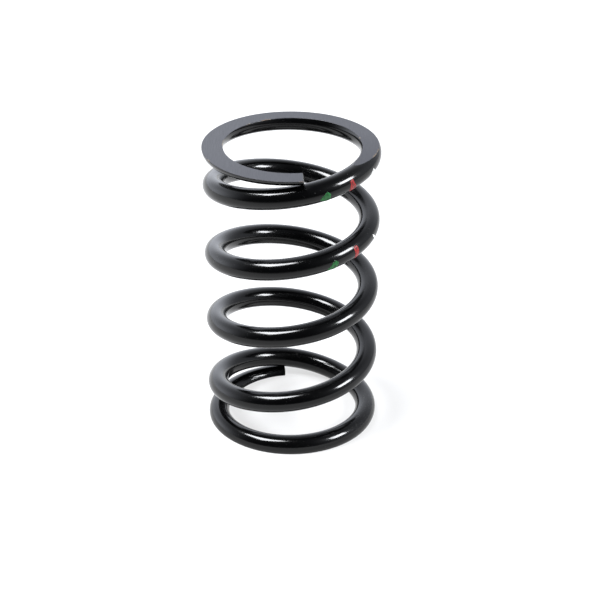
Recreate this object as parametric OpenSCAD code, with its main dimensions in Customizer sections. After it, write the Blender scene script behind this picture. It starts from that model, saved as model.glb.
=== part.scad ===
// Compression coil spring of round wire for a vehicle suspension.
// One wire, wound right-handed, with closed ends that are both ground flat.
// The axis is +Z. The origin is on the axis, in the plane of the bottom ground seat.
// The wire is divided into equal stretches, because it bends along its whole length as the spring
// works. Each stretch is a solid of its own, which rises and falls with its share of the travel.

/* [Wire] */
// Diameter of the round wire
wire_d = 12; // [9:0.5:12.5]

/* [Coil] */
// Diameter of the coil at the middle of the wire
mean_d = 89; // [84:1:120]
// Height of the relaxed spring, from one ground seat to the other
free_length = 175; // [165:1:200]
// Turns in all, both end coils included
turns = 5.5; // [5.5]
// Where the bottom tip lies round the axis, in degrees from +X towards +Y
bottom_tip_angle = 98; // [0:1:359]
// How far every coil dips at +Y and rises at -Y, as the seats aren't quite square to the coils
coil_dip = 1.2; // [0:0.1:1.5]

/* [Closed ends] */
// Angle that each end coil covers from its tip before the wire climbs away
end_angle = 292; // [285:1:300]
// Height gained by one whole turn of an end coil
end_lead = 5.4; // [5.2:0.1:7]
// Angle over which the wire bends from the end coil into the active coils, each side of end_angle
bend_angle = 36; // [20:1:40]
// How far past the plane of each ground seat the end coil's middle would run at its tip
tip_rise = 0.7; // [0:0.1:1.5]
// How far each tip's shear cut is turned from square about the upright, in degrees
cut_skew = 7; // [0:1:12]
// How far each tip's shear cut leans over, in degrees
cut_lean = 8; // [0:1:12]

/* [Paint marks] */
// Thickness of a paint mark
paint_t = 0.12; // [0.1:0.01:0.3]
// Angle along the wire from the bottom tip to the middle of the upper green dab
green_mark_angle = 1634.5; // [1626:0.5:1640]
// Angle along the wire from the bottom tip to the middle of the upper red stripe
red_mark_angle = 1653.5; // [1650:0.5:1656]
// Angle along the wire from the bottom tip to the middle of the upper white dash
white_mark_angle = 1675.5; // [1670:0.5:1690]
// How much less than a turn lies between a lower mark and the upper mark of its colour
mark_drift = 4.5; // [0:0.5:6]

/* [Hidden] */
TURN = 360;
STRETCH = 45;
// Width of the slit between stretches that move apart, and the angle past a tip before it is cut
SLIT = 0.2;
TIP_SPARE = 4;
// Angle by which the swept arcs run past their cutting planes, and the facets of a circle
SWEEP_SPARE = 1;
ROUND = 96;
wire_r = wire_d / 2;
mean_r = mean_d / 2;
wire_colour = "#1b1b1d";
wire_angle = turns * TURN;
stretch_count = wire_angle / STRETCH;

// Bodies: the stretches below FIRST_ACTIVE stay down with the bottom seat, and those from
// FIRST_TOP on move with the top seat. Between them each stretch moves on its own.
FIRST_ACTIVE = 9;
FIRST_TOP = stretch_count - FIRST_ACTIVE;

// Height gained per degree in the end coils and in the active coils
end_slope = end_lead / TURN;
active_angle = wire_angle - 2 * end_angle;
active_rise = free_length + 2 * tip_rise - 2 * end_angle * end_slope;
active_slope = active_rise / active_angle;

// Rises from 0 at a = -w to a at a = w, as a parabola between them
function bend(a, w) = a <= -w ? 0 : a >= w ? a : pow(a + w, 2) / (4 * w);

// Height of the middle of the wire at an angle along it from the bottom tip
function wire_z(a) = end_slope * a - tip_rise - coil_dip * sin(bottom_tip_angle + a)
    + (active_slope - end_slope) * (bend(a - end_angle, bend_angle)
    - bend(a - (wire_angle - end_angle), bend_angle));

// Sine of the tilt that takes a stretch of half angle h from height wire_z(a - h) to wire_z(a + h)
function tilt(a, h) = asin((wire_z(a + h) - wire_z(a - h)) / (2 * mean_r * sin(h)));

function stretch_mid(i) = (i + 0.5) * STRETCH;

// Angle that a stretch gives up at its lower side i, where the stretch below it is on another body
function side_gap(i) = i < FIRST_ACTIVE || i > FIRST_TOP ? 0 : SLIT / 2 / mean_r * 180 / PI;
function stretch_name(i) = str("coil_", floor(i / 8) + 1, "_arc_", i % 8 + 1);

// Each paint mark: name, angle along the wire, and the colour and shape it takes
MARKS = [
    ["green_mark_upper", green_mark_angle, "green"],
    ["red_mark_upper", red_mark_angle, "red"],
    ["white_mark_upper", white_mark_angle, "white"],
    ["green_mark_lower", green_mark_angle - TURN + mark_drift, "green"],
    ["red_mark_lower", red_mark_angle - TURN + mark_drift, "red"],
    ["white_mark_lower", white_mark_angle - TURN + mark_drift, "white"]
];

// Shape of a mark by its colour: angle along the wire, and the first and last angle round the
// wire's section, measured from outwards towards up
function mark_width(c) = c == "green" ? 7 : c == "red" ? 3.6 : 4;
function mark_from(c) = c == "green" ? -60 : c == "red" ? -56 : -42;
function mark_to(c) = c == "green" ? 16 : c == "red" ? 32 : 8;
function mark_colour(c) = c == "green" ? "seagreen" : c == "red" ? "firebrick" : "whitesmoke";

// An upright wedge about the axis, between two angles that are less than a half turn apart
module wedge(from, to) {
    reach = mean_d + wire_d;
    height = 3 * wire_d;
    translate([0, 0, -height / 2])
        linear_extrude(height)
            polygon([
                [0, 0],
                [reach * cos(from), reach * sin(from)],
                [reach * cos(to), reach * sin(to)]
            ]);
}

// Puts a piece made about +X at height 0 where the wire's middle is at angle a
module at_wire(a, h) {
    z = (wire_z(a - h) + wire_z(a + h)) / 2;
    translate([0, 0, z])
        rotate([0, 0, bottom_tip_angle + a])
            children();
}

// An arc of torus about +X, tilted as the wire is at angle a, past h degrees each side.
// The children are its section, with +X outwards.
module tilted_arc(a, h, past) {
    rotate([tilt(a, h), 0, 0])
        rotate([0, 0, -h - past])
            rotate_extrude(angle = 2 * (h + past), $fn = ROUND)
                translate([mean_r, 0])
                    children();
}

// One stretch of the wire, cut by upright planes through the axis
module wire_stretch(i) {
    a = stretch_mid(i);
    h = STRETCH / 2;
    first = i == 0;
    last = i == stretch_count - 1;
    // A stretch that ends in a tip runs on past it, for the shear to cut
    from = first ? -h - TIP_SPARE : side_gap(i) - h;
    to = last ? h + TIP_SPARE : h - side_gap(i + 1);
    color(wire_colour)
        difference() {
            at_wire(a, h)
                intersection() {
                    tilted_arc(a, h, TIP_SPARE + SWEEP_SPARE)
                        circle(r = wire_r, $fn = ROUND);
                    wedge(from, to);
                }
            if (i < FIRST_ACTIVE)
                ground_waste(-wire_d);
            if (i >= FIRST_TOP)
                ground_waste(free_length);
            if (first)
                tip_waste(0, -1);
            if (last)
                tip_waste(wire_angle, 1);
        }
}

// What the grinding wheel takes away at an end: a slab whose underside is at height z
module ground_waste(z) {
    translate([-mean_d, -mean_d, z])
        cube([2 * mean_d, 2 * mean_d, wire_d]);
}

// What the shear takes away past a tip: way is -1 at the bottom tip and 1 at the top tip
module tip_waste(a, way) {
    block = wire_d * 2;
    translate([0, 0, wire_z(a)])
        rotate([0, 0, bottom_tip_angle + a])
            translate([mean_r, 0])
                rotate([cut_lean, 0, -way * cut_skew])
                    translate([-block / 2, way > 0 ? 0 : -block, -block / 2])
                        cube(block);
}

// A thin patch of paint on the outside of the wire
module paint_mark(m) {
    a = m[1];
    c = m[2];
    half_width = mark_width(c) / 2;
    i = floor(a / STRETCH);
    mid = stretch_mid(i);
    h = STRETCH / 2;
    color(mark_colour(c))
        difference() {
            at_wire(mid, h)
                intersection() {
                    tilted_arc(mid, h, 0)
                        paint_section(mark_from(c), mark_to(c));
                    wedge(a - mid - half_width, a - mid + half_width);
                }
            if (i >= FIRST_TOP)
                ground_waste(free_length);
        }
}

// The section of a paint mark: the part of a thin ring on the wire between two section angles
module paint_section(from, to) {
    reach = wire_d;
    middle = (from + to) / 2;
    intersection() {
        difference() {
            circle(r = wire_r + paint_t, $fn = ROUND);
            circle(r = wire_r, $fn = ROUND);
        }
        polygon([
            [0, 0],
            [reach * cos(from), reach * sin(from)],
            [reach * 2 * cos(middle), reach * 2 * sin(middle)],
            [reach * cos(to), reach * sin(to)]
        ]);
    }
}

for (i = [0 : stretch_count - 1])
    wire_stretch(i);
for (m = MARKS)
    paint_mark(m);
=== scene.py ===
import math

import bpy
import numpy as np
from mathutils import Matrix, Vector


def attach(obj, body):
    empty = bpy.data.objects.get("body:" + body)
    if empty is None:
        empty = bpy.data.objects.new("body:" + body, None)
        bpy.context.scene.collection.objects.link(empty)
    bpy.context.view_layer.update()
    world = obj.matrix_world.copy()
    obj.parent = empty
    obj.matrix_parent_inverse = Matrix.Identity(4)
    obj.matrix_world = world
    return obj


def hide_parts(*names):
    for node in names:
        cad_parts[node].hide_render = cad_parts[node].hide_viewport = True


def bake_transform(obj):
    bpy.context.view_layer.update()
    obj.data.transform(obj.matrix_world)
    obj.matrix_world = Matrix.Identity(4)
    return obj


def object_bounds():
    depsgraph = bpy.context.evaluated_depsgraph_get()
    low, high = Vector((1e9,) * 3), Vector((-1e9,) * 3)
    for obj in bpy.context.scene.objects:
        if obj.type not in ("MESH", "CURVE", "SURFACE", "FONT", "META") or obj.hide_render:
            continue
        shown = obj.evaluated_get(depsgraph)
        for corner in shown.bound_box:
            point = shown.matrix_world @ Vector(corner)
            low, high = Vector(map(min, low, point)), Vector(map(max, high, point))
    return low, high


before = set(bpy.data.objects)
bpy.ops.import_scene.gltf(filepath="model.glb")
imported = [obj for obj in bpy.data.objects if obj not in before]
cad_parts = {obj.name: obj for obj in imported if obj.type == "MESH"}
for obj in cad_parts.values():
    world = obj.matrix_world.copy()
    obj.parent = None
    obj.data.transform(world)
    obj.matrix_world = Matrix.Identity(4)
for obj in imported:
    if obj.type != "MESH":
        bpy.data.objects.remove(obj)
cad_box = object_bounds()

# ---------------------------------------------------------------- the spring's dimensions
# Lengths are metres and angles are degrees. An angle along the wire starts at the bottom tip. An
# angle around the wire's section starts at the side away from the spring's axis and goes upwards.

MM = 0.001
TURN = 360.0
WIRE_R = 6 * MM
OUTER_R = (cad_box[1][0] - cad_box[0][0]) / 2
COIL_R = OUTER_R - WIRE_R
SEAT_Z = cad_box[1][2]
STRETCH = 45.0
STRETCHES = 44
WIRE_END = STRETCH * STRETCHES
TIP_AZIMUTH = 98.0
# The end coils: their angle, their rise, and how far their middle runs past the seat at the tip
END_ANGLE = 292.0
END_SLOPE = 5.4 * MM / TURN
TIP_RISE = 0.7 * MM
# How far every coil dips at +Y and rises at -Y
COIL_DIP = 1.2 * MM
# Half the angle over which the wire bends between an end coil and the active coils
BEND = 36.0
# The shear cuts: turned about the upright, and leaning over
CUT_SKEW = 7.0
CUT_LEAN = 8.0

# Stretches before FIRST_ACTIVE stay with the lower end, and those from FIRST_TOP on with the upper
FIRST_ACTIVE = 9
FIRST_TOP = STRETCHES - FIRST_ACTIVE
# Stretches before LOW_GROUND meet the lower ground face, and those from HIGH_GROUND the upper
LOW_GROUND = 8
HIGH_GROUND = 36
LOWER_BODY = "bottom_end"
UPPER_BODY = "top_end"

# How finely the wire is meshed: along it, around a round section, and around a ground one
RING_STEP = 1.5
ROUND_POINTS = 72
SIDE_POINTS = 60
FACE_POINTS = 15
# The broken edge of a ground face, and the most of the face's half width that it takes
EDGE_BREAK = 0.22 * MM
EDGE_SHARE = 0.3
# Section angle at which the ground face has closed up to a line
CLOSED_FACE = 88.5
# The broken edge of a cut tip, the rings of the cut, and how far behind it the rings turn into line
TIP_BREAK = 0.30 * MM
TIP_RINGS = (1 - TIP_BREAK / WIRE_R, 0.8, 0.55, 0.3, 0.1)
TIP_SETBACK = math.degrees(TIP_BREAK / COIL_R)
TIP_RAMP = 8.0
# Angle over which the wire's slope is measured
SLOPE_STEP = 0.1

ACTIVE_RISE = SEAT_Z + 2 * TIP_RISE - 2 * END_ANGLE * END_SLOPE
ACTIVE_SLOPE = ACTIVE_RISE / (WIRE_END - 2 * END_ANGLE)


def bend(a, w):
    """Rises from 0 at -w to a at w, as a parabola between them."""
    return np.where(a <= -w, 0.0, np.where(a >= w, a, (a + w) ** 2 / (4 * w)))


def wire_z(a):
    """Height of the wire's middle at an angle along it."""
    climb = bend(a - END_ANGLE, BEND) - bend(a - (WIRE_END - END_ANGLE), BEND)
    dip = COIL_DIP * np.sin(np.radians(TIP_AZIMUTH + a))
    return END_SLOPE * a - TIP_RISE - dip + (ACTIVE_SLOPE - END_SLOPE) * climb


def wire_axes(a):
    """Middle of the wire at each angle along it, and the directions outwards and upwards there."""
    turn = np.radians(TIP_AZIMUTH + a)
    out = np.stack([np.cos(turn), np.sin(turn), np.zeros_like(turn)], -1)
    middle = out * COIL_R
    middle[..., 2] = wire_z(a)
    rise = (wire_z(a + SLOPE_STEP / 2) - wire_z(a - SLOPE_STEP / 2)) / math.radians(SLOPE_STEP)
    along = np.stack([-COIL_R * np.sin(turn), COIL_R * np.cos(turn), rise], -1)
    along /= np.linalg.norm(along, axis=-1, keepdims=True)
    return middle, out, np.cross(out, along)


# ---------------------------------------------------------------- meshes

# Material numbers
PAINT, GROUND, CUT = range(3)


def ring_angles(first, last):
    """Angles of the rings of a stretch, each end included."""
    return np.linspace(first, last, int(round((last - first) / RING_STEP)) + 1)


def round_section(a):
    """Points of a full round section at each ring: offsets outwards and upwards."""
    s = np.radians(np.arange(ROUND_POINTS) * TURN / ROUND_POINTS)
    x = np.broadcast_to(np.cos(s), (len(a), ROUND_POINTS))
    y = np.broadcast_to(np.sin(s), (len(a), ROUND_POINTS))
    rim = np.full(x.shape, WIRE_R)
    return x * WIRE_R, y * WIRE_R, x, y, rim


def ground_section(a, way):
    """Points of a section that is ground flat at a seat: the round side, then the flat face.

    way is 1 for the upper seat and -1 for the lower one, whose section is the mirror image.
    Where the wire lies clear of the seat, the face closes up to a line on the side of the wire."""
    middle, out, up = wire_axes(a)
    gap = SEAT_Z - middle[:, 2] if way > 0 else middle[:, 2]
    height = gap / (WIRE_R * up[:, 2])
    edge = np.arcsin(np.minimum(height, math.sin(math.radians(CLOSED_FACE))))
    half = WIRE_R * np.cos(edge)
    chamfer = np.minimum(EDGE_BREAK, EDGE_SHARE * half)
    low = edge - chamfer / WIRE_R
    u = np.linspace(0, 1, SIDE_POINTS)
    s = u * (math.pi + 2 * low[:, None]) - math.pi - low[:, None]
    across = np.sin(math.pi / 2 * np.linspace(1, -1, FACE_POINTS)) * (half - chamfer)[:, None]
    flat = np.broadcast_to((WIRE_R * np.sin(edge))[:, None], across.shape)
    x = np.hstack([WIRE_R * np.cos(s), across])
    y = np.hstack([WIRE_R * np.sin(s), flat])
    ground = (height < 1)[:, None]
    nx = np.hstack([np.cos(s), np.where(ground, 0.0, across / WIRE_R)])
    ny = np.hstack([np.sin(s), np.where(ground, 1.0, flat / WIRE_R)])
    rim_side = np.minimum(s - s[:, :1], s[:, -1:] - s) * WIRE_R
    rim_face = (half - chamfer)[:, None] - np.abs(across)
    rim = np.hstack([rim_side, rim_face])
    column = np.array([PAINT] * (SIDE_POINTS - 1) + [GROUND] * (FACE_POINTS + 1))
    if way < 0:
        x, y, nx, ny, rim = (v[:, ::-1] for v in (x, -y, nx, -ny, rim))
        column = np.roll(column[::-1], -1)
    return x, y, nx, ny, rim, column


def cut_offset(x, y, way):
    """Angle along the wire by which the sheared end lies past the tip at a point of the section."""
    skew = math.radians(CUT_SKEW)
    lean = math.radians(CUT_LEAN)
    offset = -way * x * math.tan(skew) - y * math.tan(lean) / math.cos(skew)
    return np.degrees(offset / COIL_R)


class Sweep:
    """A closed mesh that follows the wire, with its own normals, material numbers and rim distance."""

    def __init__(self):
        self.points = []
        self.normals = []
        self.along = []
        self.rims = []
        self.count = 0
        self.faces = []
        self.corners = []
        self.kinds = []

    def ring(self, a, x, y, nx, ny, rim):
        """Adds one ring of points."""
        middle, out, up = wire_axes(a)
        point = middle + out * x[:, None] + up * y[:, None]
        normal = out * nx[:, None] + up * ny[:, None]
        self.points.append(point)
        self.normals.append(normal / np.linalg.norm(normal, axis=1, keepdims=True))
        self.along.append(a)
        self.rims.append(rim)
        first = self.count
        self.count += len(a)
        return np.arange(first, self.count)

    def band(self, lower, upper, kinds):
        """Faces between two rings. kinds gives the material number of each column."""
        ahead = np.roll(np.arange(len(lower)), -1)
        for j in range(len(lower)):
            k = ahead[j]
            self.face([lower[j], upper[j], upper[k], lower[k]], kinds[j])

    def face(self, corners, kind, normal=None):
        """Adds one face. A flat one, such as a cap, gives its own normal."""
        self.faces.append([int(c) for c in corners])
        self.kinds.append(int(kind))
        self.corners.append(normal)

    def build(self, name, materials):
        """Makes the object. Its points' angles along the wire stay on it until follow() removes them."""
        points = np.concatenate(self.points)
        normals = np.concatenate(self.normals)
        mesh = bpy.data.meshes.new(name)
        mesh.from_pydata(points.tolist(), [], self.faces)
        mesh.polygons.foreach_set("material_index", self.kinds)
        mesh.polygons.foreach_set("use_smooth", [True] * len(self.faces))
        rim = mesh.attributes.new("rim", "FLOAT", "POINT")
        rim.data.foreach_set("value", np.concatenate(self.rims).astype(np.float32))
        loops = []
        for face, own in zip(self.faces, self.corners):
            for corner in face:
                loops.append(normals[corner] if own is None else own)
        mesh.normals_split_custom_set(loops)
        for material in materials:
            mesh.materials.append(material)
        piece = bpy.data.objects.new(name, mesh)
        bpy.context.scene.collection.objects.link(piece)
        piece["along"] = [float(v) for v in np.concatenate(self.along)]
        return piece


def wire_direction(a):
    """Direction along the wire, upwards, at one angle."""
    middle, out, up = wire_axes(np.array([a]))
    return np.cross(up, out)[0]


def stretch_piece(i, name, materials):
    """One stretch of the wire, closed at both ends."""
    first = i * STRETCH
    last = first + STRETCH
    rings = ring_angles(first, last)
    if i < LOW_GROUND:
        x, y, nx, ny, rim, column = ground_section(rings, -1)
        is_flat = wire_z(rings) - WIRE_R < 0
    elif i >= HIGH_GROUND:
        x, y, nx, ny, rim, column = ground_section(rings, 1)
        is_flat = wire_z(rings) + WIRE_R > SEAT_Z
    else:
        x, y, nx, ny, rim = round_section(rings)
        is_flat = np.zeros(len(rings), bool)
        column = np.full(ROUND_POINTS, PAINT)
    sweep = Sweep()
    made = []
    for n, ring in enumerate(rings):
        a = np.full(x.shape[1], ring)
        if i == 0:
            near = max(0.0, 1 - ring / TIP_RAMP)
            a = a + (cut_offset(x[n], y[n], -1) + TIP_SETBACK) * near
        if i == STRETCHES - 1:
            near = max(0.0, 1 - (WIRE_END - ring) / TIP_RAMP)
            a = a + (cut_offset(x[n], y[n], 1) - TIP_SETBACK) * near
        made.append(sweep.ring(a, x[n], y[n], nx[n], ny[n], rim[n]))
    for n in range(len(rings) - 1):
        flat_here = is_flat[n] and is_flat[n + 1]
        kinds = column if flat_here else np.full(len(column), PAINT)
        sweep.band(made[n], made[n + 1], kinds)
    if i == 0:
        close_tip(sweep, made[0], x[0], y[0], nx[0], ny[0], 0.0, -1)
    else:
        sweep.face(made[0], PAINT, -wire_direction(first))
    if i == STRETCHES - 1:
        close_tip(sweep, made[-1], x[-1], y[-1], nx[-1], ny[-1], WIRE_END, 1)
    else:
        sweep.face(made[-1][::-1], PAINT, wire_direction(last))
    return sweep.build(name, materials)


def close_tip(sweep, edge, x, y, nx, ny, a, way):
    """Closes a sheared tip: a broken edge, then the cut face in rings down to its middle.

    way is -1 at the bottom tip and 1 at the top tip."""
    skew = math.radians(CUT_SKEW)
    lean = math.radians(CUT_LEAN)
    turn = math.radians(TIP_AZIMUTH + a)
    across = way * math.sin(skew) * math.cos(lean)
    along = math.cos(skew) * math.cos(lean)
    out = np.array([math.cos(turn), math.sin(turn), 0.0])
    tangent = np.array([-math.sin(turn), math.cos(turn), 0.0])
    facing = (out * across + tangent * along + np.array([0.0, 0.0, math.sin(lean)])) * way
    centre = (y.max() + y.min()) / 2
    inner = edge
    for share in TIP_RINGS:
        px = x * share
        py = centre + (y - centre) * share
        angle = a + cut_offset(px, py, way)
        ring = sweep.ring(angle, px, py, nx, ny, np.full(len(px), WIRE_R * (1 - share)))
        sweep.normals[-1][:] = facing
        pair = (inner, ring) if way > 0 else (ring, inner)
        sweep.band(*pair, np.full(len(px), CUT))
        inner = ring
    sweep.face(inner if way < 0 else inner[::-1], CUT, facing)


# ---------------------------------------------------------------- materials

def node(tree, kind, links=None, **settings):
    """A new node with its settings. links gives a value or another node's output for each input."""
    made = tree.nodes.new(kind)
    for key, value in settings.items():
        setattr(made, key, value)
    for key, value in (links or {}).items():
        if isinstance(value, bpy.types.NodeSocket):
            tree.links.new(value, made.inputs[key])
        else:
            made.inputs[key].default_value = value
    return made


def new_material(name):
    material = bpy.data.materials.new(name)
    material.use_nodes = True
    tree = material.node_tree
    tree.nodes.clear()
    shader = node(tree, "ShaderNodeBsdfPrincipled")
    output = node(tree, "ShaderNodeOutputMaterial")
    tree.links.new(shader.outputs[0], output.inputs["Surface"])
    return material, tree, shader


def place(tree, scale=(1, 1, 1)):
    """Position on the object in metres, stretched by scale."""
    where = node(tree, "ShaderNodeTexCoord").outputs["Object"]
    return node(tree, "ShaderNodeMapping", {"Vector": where, "Scale": scale}).outputs[0]


def noise(tree, where, scale, detail=2.0, rough=0.5):
    """Noise between 0 and 1, with scale features in a metre."""
    return node(
        tree,
        "ShaderNodeTexNoise",
        {"Vector": where, "Scale": scale, "Detail": detail, "Roughness": rough},
    ).outputs[0]


def step(tree, value, low, high, start=0.0, end=1.0):
    """Goes smoothly from start, where value is low, to end, where it is high."""
    return node(
        tree,
        "ShaderNodeMapRange",
        {"Value": value, 1: low, 2: high, 3: start, 4: end},
        interpolation_type="SMOOTHSTEP",
    ).outputs[0]


def times(tree, a, b):
    return node(tree, "ShaderNodeMath", {0: a, 1: b}, operation="MULTIPLY").outputs[0]


def most(tree, a, b):
    return node(tree, "ShaderNodeMath", {0: a, 1: b}, operation="MAXIMUM").outputs[0]


def mix(tree, share, a, b):
    """A colour between a and b."""
    made = node(tree, "ShaderNodeMix", data_type="RGBA")
    for key, value in {0: share, 6: a, 7: b}.items():
        if isinstance(value, bpy.types.NodeSocket):
            tree.links.new(value, made.inputs[key])
        else:
            made.inputs[key].default_value = value
    return made.outputs[2]


def blend_value(tree, share, a, b):
    """A number between a and b."""
    made = node(tree, "ShaderNodeMix", data_type="FLOAT")
    for key, value in {0: share, 2: a, 3: b}.items():
        if isinstance(value, bpy.types.NodeSocket):
            tree.links.new(value, made.inputs[key])
        else:
            made.inputs[key].default_value = value
    return made.outputs[0]


def bump(tree, height, depth, under=None):
    """Raises the surface by depth metres where height is 1."""
    links = {"Height": height, "Distance": depth, "Strength": 1.0}
    if under is not None:
        links["Normal"] = under
    return node(tree, "ShaderNodeBump", links).outputs[0]


def grey(level, tint=(1, 1, 1)):
    return (level * tint[0], level * tint[1], level * tint[2], 1)


def rim_distance(tree):
    return node(tree, "ShaderNodeAttribute", attribute_name="rim").outputs["Fac"]


BARE_STEEL = (0.085, 0.075, 0.060, 1)
RUST = (0.050, 0.030, 0.018, 1)


def gloss_paint():
    """Black gloss coat over drawn wire: faint orange peel, dust specks and dull scuffs."""
    material, tree, shader = new_material("wire_gloss_black")
    where = place(tree)
    cloud = noise(tree, where, 60, 3)
    tone = mix(tree, cloud, grey(0.0004), grey(0.0010, (0.92, 0.97, 1.14)))
    # Scuffs are small, ragged and rare, and dust sits in separate specks
    scuff_where = place(tree, (1, 1, 2.2))
    region = step(tree, noise(tree, where, 34, 2), 0.60, 0.72)
    ragged = step(tree, noise(tree, scuff_where, 900, 4, 0.7), 0.58, 0.70)
    scuff = times(tree, region, ragged)
    speck = step(tree, noise(tree, where, 1500, 1), 0.74, 0.80)
    colour = mix(tree, scuff, tone, grey(0.035, (1.0, 0.98, 0.94)))
    colour = mix(tree, times(tree, speck, 0.5), colour, grey(0.06))
    tree.links.new(colour, shader.inputs["Base Color"])
    gloss = step(tree, noise(tree, where, 150, 3), 0.30, 0.70, 0.125, 0.165)
    rough = blend_value(tree, scuff, gloss, 0.42)
    tree.links.new(rough, shader.inputs["Roughness"])
    shader.inputs["IOR"].default_value = 1.34
    waves = bump(tree, noise(tree, where, 160, 1), 0.0000022)
    peel = bump(tree, noise(tree, where, 900, 2), 0.0000002, waves)
    tree.links.new(peel, shader.inputs["Normal"])
    return material


def ground_paint():
    """The ground face: fine grinding lines under a thin satin coat, chipped along both edges."""
    material, tree, shader = new_material("ground_face_satin")
    where = place(tree)
    lines_where = place(tree, (1, 0.035, 1))
    lines = noise(tree, lines_where, 2600, 3, 0.6)
    cloud = noise(tree, where, 90, 4, 0.6)
    tone = mix(tree, lines, grey(0.009, (0.94, 0.97, 1.25)), grey(0.013, (0.94, 0.97, 1.25)))
    tone = mix(tree, times(tree, cloud, 0.5), tone, grey(0.016, (0.94, 0.98, 1.25)))
    # Chips: the nearer the edge, the more of the noise counts
    distance = rim_distance(tree)
    near = step(tree, distance, 0.0, 0.0005, 1.0, 0.0)
    grain = noise(tree, where, 1700, 3, 0.65)
    patch = noise(tree, where, 110, 2)
    chance = times(tree, near, step(tree, patch, 0.53, 0.66))
    chip = step(tree, times(tree, chance, grain), 0.35, 0.43)
    metal = mix(tree, step(tree, noise(tree, where, 700, 2), 0.42, 0.60), RUST, BARE_STEEL)
    tree.links.new(mix(tree, chip, tone, metal), shader.inputs["Base Color"])
    satin = step(tree, lines, 0.25, 0.75, 0.40, 0.50)
    tree.links.new(blend_value(tree, chip, satin, 0.6), shader.inputs["Roughness"])
    shader.inputs["IOR"].default_value = 1.38
    grooves = bump(tree, lines, 0.000003)
    chipped = bump(tree, step(tree, chip, 0.0, 1.0, 1.0, 0.0), 0.00005, grooves)
    tree.links.new(chipped, shader.inputs["Normal"])
    return material


def cut_paint():
    """The sheared tip: torn grain under the paint, and worn to the steel on its edge."""
    material, tree, shader = new_material("sheared_tip_black")
    where = place(tree)
    torn_where = place(tree, (1, 1, 0.25))
    torn = noise(tree, torn_where, 900, 4, 0.6)
    tone = mix(tree, torn, grey(0.006), grey(0.022))
    distance = rim_distance(tree)
    near = step(tree, distance, 0.00025, 0.0011, 1.0, 0.0)
    chip = step(tree, times(tree, near, noise(tree, where, 1300, 3, 0.6)), 0.48, 0.56)
    tree.links.new(mix(tree, chip, tone, BARE_STEEL), shader.inputs["Base Color"])
    rough = blend_value(tree, torn, 0.28, 0.48)
    tree.links.new(rough, shader.inputs["Roughness"])
    tree.links.new(bump(tree, torn, 0.00012), shader.inputs["Normal"])
    return material


def mark_paint(name, thick, thin):
    """Dabbed marking paint: brush streaks, thin at places so that the black shows through."""
    material, tree, shader = new_material(name)
    where = place(tree)
    streak_where = place(tree, (1, 1, 0.3))
    streaks = noise(tree, streak_where, 1400, 3, 0.6)
    holes = step(tree, noise(tree, where, 620, 2, 0.6), 0.56, 0.66)
    film = mix(tree, step(tree, streaks, 0.35, 0.65), thick, thin)
    tree.links.new(mix(tree, times(tree, holes, 0.8), film, grey(0.006)), shader.inputs["Base Color"])
    rough = step(tree, streaks, 0.3, 0.7, 0.34, 0.50)
    tree.links.new(rough, shader.inputs["Roughness"])
    shader.inputs["IOR"].default_value = 1.35
    tree.links.new(bump(tree, streaks, 0.00002), shader.inputs["Normal"])
    return material


# ---------------------------------------------------------------- the wire

def follow(piece, i):
    """Puts a piece of stretch i on the lower or upper end, or fixes it in place if it is active."""
    if i < FIRST_ACTIVE:
        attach(piece, LOWER_BODY)
    elif i >= FIRST_TOP:
        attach(piece, UPPER_BODY)
    else:
        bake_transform(piece)
    del piece["along"]


def make_wire():
    materials = [gloss_paint(), ground_paint(), cut_paint()]
    for i in range(STRETCHES):
        node_name = f"coil_{i // 8 + 1}_arc_{i % 8 + 1}"
        piece = stretch_piece(i, node_name + "_wire", materials)
        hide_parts(node_name)
        follow(piece, i)


# ---------------------------------------------------------------- paint marks
# Each mark: node name, slot, angle along the wire, and its outline: (angle along the wire from
# there, first and last angle around the section).

MARKS = [
    ("green_mark_upper", "green_paint", 1634.5,
     [(-4.8, -30, -26), (-2.6, -44, -5), (-0.3, -61, 8), (0.7, -62, 13), (1.9, -61, 2), (2.5, -14, -5)]),
    ("red_mark_upper", "red_paint", 1653.5,
     [(-2.5, -38, -30), (-1.4, -52, 22), (0.9, -56, 26), (1.4, -54, 6), (3.4, -40, -30)]),
    ("white_mark_upper", "white_paint", 1675.5,
     [(-4.5, -29, -24), (-0.1, -38, 8), (1.0, -37, 0), (4.5, -34, -29)]),
    ("green_mark_lower", "green_paint", 1279.0,
     [(-4.3, -41, -34), (-1.0, -48, -7), (1.8, -58, 19), (2.2, -57, 14), (4.1, -11, -4)]),
    ("red_mark_lower", "red_paint", 1298.0,
     [(-1.5, -46, 26), (-0.9, -49, 37), (1.6, -50, 37), (2.1, -45, 27)]),
    ("white_mark_lower", "white_paint", 1320.0,
     [(-2.4, 8, 18), (-1.2, -8, 16), (0.0, -24, 3), (1.4, -32, -16)]),
]
MARK_COLUMNS = 36
MARK_ROWS = 26
# The film's thickness, how far it goes into the wire, and how far in from its edge it is full
PAINT_FILM = 0.09 * MM
PAINT_ROOT = 0.05 * MM
FILM_EDGE = 0.35 * MM
# Waves along a mark's edge: height as a section angle, and radians of phase per degree along
COARSE_WAVE = (1.8, 9.1)
FINE_WAVE = (1.2, 21.7)
TOP_EDGE_WAVES = 0.8


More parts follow.
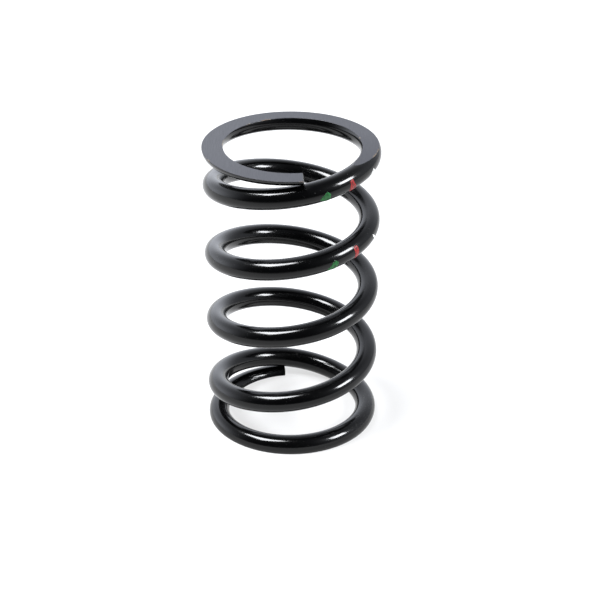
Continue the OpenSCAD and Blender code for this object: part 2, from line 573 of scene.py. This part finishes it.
def mark_piece(name, angle, outline, material):
    """A thin closed film of paint on the wire."""
    along, low, high = np.array(outline, float).T
    u = np.linspace(0, 1, MARK_COLUMNS)
    a = angle + along[0] + u * (along[-1] - along[0])
    ragged = COARSE_WAVE[0] * np.sin(a * COARSE_WAVE[1] + angle)
    ragged = ragged + FINE_WAVE[0] * np.sin(a * FINE_WAVE[1])
    bottom = np.interp(a - angle, along, low) + ragged
    top = np.interp(a - angle, along, high) + TOP_EDGE_WAVES * ragged[::-1]
    v = np.linspace(0, 1, MARK_ROWS)
    s = bottom[:, None] + v * (top - bottom)[:, None]
    grid = np.repeat(a[:, None], MARK_ROWS, 1)
    across = np.minimum(s - bottom[:, None], top[:, None] - s) * math.radians(WIRE_R)
    ends = np.minimum(grid - a[0], a[-1] - grid) * math.radians(COIL_R)
    edge = np.clip(np.minimum(across, ends) / FILM_EDGE, 0, 1)
    film = WIRE_R + PAINT_FILM * np.sqrt(edge * (2 - edge))
    middle, out, up = wire_axes(grid)
    sr = np.radians(s)
    normal = out * np.cos(sr)[..., None] + up * np.sin(sr)[..., None]
    outer = middle + normal * film[..., None]
    inner = middle + normal * (WIRE_R - PAINT_ROOT)
    size = MARK_COLUMNS * MARK_ROWS
    index = np.arange(size).reshape(MARK_COLUMNS, MARK_ROWS)
    faces = []
    for i in range(MARK_COLUMNS - 1):
        for j in range(MARK_ROWS - 1):
            quad = [index[i, j], index[i + 1, j], index[i + 1, j + 1], index[i, j + 1]]
            faces.append([int(q) for q in quad])
            faces.append([int(q) + size for q in quad[::-1]])
    border = np.concatenate([index[:, 0], index[-1, 1:], index[-2::-1, -1], index[0, -2:0:-1]])
    for p, q in zip(border, np.roll(border, -1)):
        faces.append([int(q), int(p), int(p) + size, int(q) + size])
    mesh = bpy.data.meshes.new(name)
    points = np.concatenate([outer.reshape(-1, 3), inner.reshape(-1, 3)])
    mesh.from_pydata(points.tolist(), [], faces)
    mesh.polygons.foreach_set("use_smooth", [True] * len(faces))
    mesh.materials.append(material)
    piece = bpy.data.objects.new(name, mesh)
    bpy.context.scene.collection.objects.link(piece)
    piece["along"] = np.concatenate([grid.ravel(), grid.ravel()]).tolist()
    return piece


def make_marks():
    paints = {
        "green_paint": mark_paint("mark_green", (0.006, 0.105, 0.020, 1), (0.003, 0.045, 0.010, 1)),
        "red_paint": mark_paint("mark_red", (0.240, 0.008, 0.007, 1), (0.120, 0.005, 0.005, 1)),
        "white_paint": mark_paint("mark_white", (0.62, 0.62, 0.60, 1), (0.36, 0.36, 0.35, 1)),
    }
    for node_name, slot, angle, outline in MARKS:
        piece = mark_piece(node_name + "_film", angle, outline, paints[slot])
        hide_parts(node_name)
        follow(piece, int(angle // STRETCH))


# ---------------------------------------------------------------- floor, light and camera

# How far forward of the axis the floor starts to darken, and where it is dark
FLOOR_LIT = -0.15
FLOOR_DARK = -0.75
# The floor lies this far under the ground face, so that the two don't share a plane
FLOOR_GAP = 0.05 * MM


def make_floor():
    mesh = bpy.data.meshes.new("studio_floor")
    half = 4.0
    z = -FLOOR_GAP
    mesh.from_pydata([(-half, -half, z), (half, -half, z), (half, half, z), (-half, half, z)],
                     [], [(0, 1, 2, 3)])
    material, tree, shader = new_material("studio_floor_white")
    # Only the part under and behind the spring lights it, as the room in front of it is dark
    where = place(tree)
    depth = node(tree, "ShaderNodeSeparateXYZ", {"Vector": where}).outputs["Y"]
    lit = step(tree, depth, FLOOR_DARK, FLOOR_LIT)
    lit = most(tree, lit, node(tree, "ShaderNodeLightPath").outputs["Is Camera Ray"])
    tone = mix(tree, noise(tree, where, 6, 2), grey(0.155), grey(0.165))
    tree.links.new(mix(tree, lit, grey(0.0), tone), shader.inputs["Base Color"])
    shader.inputs["Emission Color"].default_value = grey(1)
    tree.links.new(times(tree, lit, 0.65), shader.inputs["Emission Strength"])
    shader.inputs["Roughness"].default_value = 0.9
    mesh.materials.append(material)
    floor = bpy.data.objects.new("studio_floor", mesh)
    bpy.context.scene.collection.objects.link(floor)


# Light that comes from the room: direction, how narrow it is, and strength
ROOM = [
    ((-0.10, 0.97, 0.22), 3.0, 2.1),
    ((1.00, 0.00, 0.30), 3.0, 0.9),
    ((-1.00, 0.35, 0.10), 9.0, 2.6),
]
ROOM_BASE = 0.04
ROOM_TINT = (0.93, 0.97, 1.06)
SOFTBOX_TINT = (0.95, 0.97, 1.0)
# Softboxes: name, direction, distance, width, height and radiance
SOFTBOXES = [
    ("softbox_overhead", (-0.39, -0.07, 0.92), 3.0, 1.55, 1.35, 50),
    ("softbox_right", (0.78, -0.31, 0.54), 3.0, 1.05, 0.95, 55),
]

# The camera: tilt below level, the point it aims at, its distance from there, and its lens
CAMERA_TILT = 28.774
CAMERA_AIM = (4.75 * MM, 0, 75.8 * MM)
CAMERA_DISTANCE = 942.2 * MM
CAMERA_LENS = 95.9


def make_room():
    world = bpy.data.worlds.new("studio")
    bpy.context.scene.world = world
    world.use_nodes = True
    tree = world.node_tree
    tree.nodes.clear()
    way = node(tree, "ShaderNodeTexCoord").outputs["Generated"]
    total = None
    for direction, narrow, strength in ROOM:
        aim = Vector(direction).normalized()
        facing = node(tree, "ShaderNodeVectorMath", {0: way, 1: aim}, operation="DOT_PRODUCT")
        lit = most(tree, facing.outputs["Value"], 0.0)
        lobe = node(tree, "ShaderNodeMath", {0: lit, 1: narrow}, operation="POWER").outputs[0]
        lobe = times(tree, lobe, strength)
        total = node(tree, "ShaderNodeMath", {0: lobe, 1: ROOM_BASE if total is None else total})
        total = total.outputs[0]
    seen = node(tree, "ShaderNodeLightPath").outputs["Is Camera Ray"]
    strength = blend_value(tree, seen, total, 1.0)
    tint = mix(tree, seen, grey(1, ROOM_TINT), grey(1))
    back = node(tree, "ShaderNodeBackground", {"Color": tint, "Strength": strength})
    output = node(tree, "ShaderNodeOutputWorld")
    tree.links.new(back.outputs[0], output.inputs["Surface"])


def softbox(name, direction, distance, width, height, radiance):
    """A rectangular light that faces the spring's middle."""
    light = bpy.data.lights.new(name, "AREA")
    light.shape = "RECTANGLE"
    light.size = width
    light.size_y = height
    light.energy = radiance * math.pi * width * height
    light.color = SOFTBOX_TINT
    lamp = bpy.data.objects.new(name, light)
    aim = Vector(direction).normalized()
    lamp.location = Vector((0, 0, SEAT_Z / 2)) + aim * distance
    lamp.rotation_euler = aim.to_track_quat("Z", "Y").to_euler()
    bpy.context.scene.collection.objects.link(lamp)


def make_camera():
    """A camera in front of the spring, above it and looking down."""
    tilt = math.radians(CAMERA_TILT)
    back = Vector((0, -math.cos(tilt), math.sin(tilt)))
    data = bpy.data.cameras.new("camera")
    data.sensor_width = 36
    data.lens = CAMERA_LENS
    data.clip_start = 0.01
    camera = bpy.data.objects.new("camera", data)
    camera.location = Vector(CAMERA_AIM) + back * CAMERA_DISTANCE
    camera.rotation_euler = (math.pi / 2 - tilt, 0, 0)
    bpy.context.scene.collection.objects.link(camera)
    bpy.context.scene.camera = camera


make_camera()
make_wire()
make_marks()
make_floor()
make_room()
for box in SOFTBOXES:
    softbox(*box)
bpy.context.scene.view_settings.view_transform = "Standard"
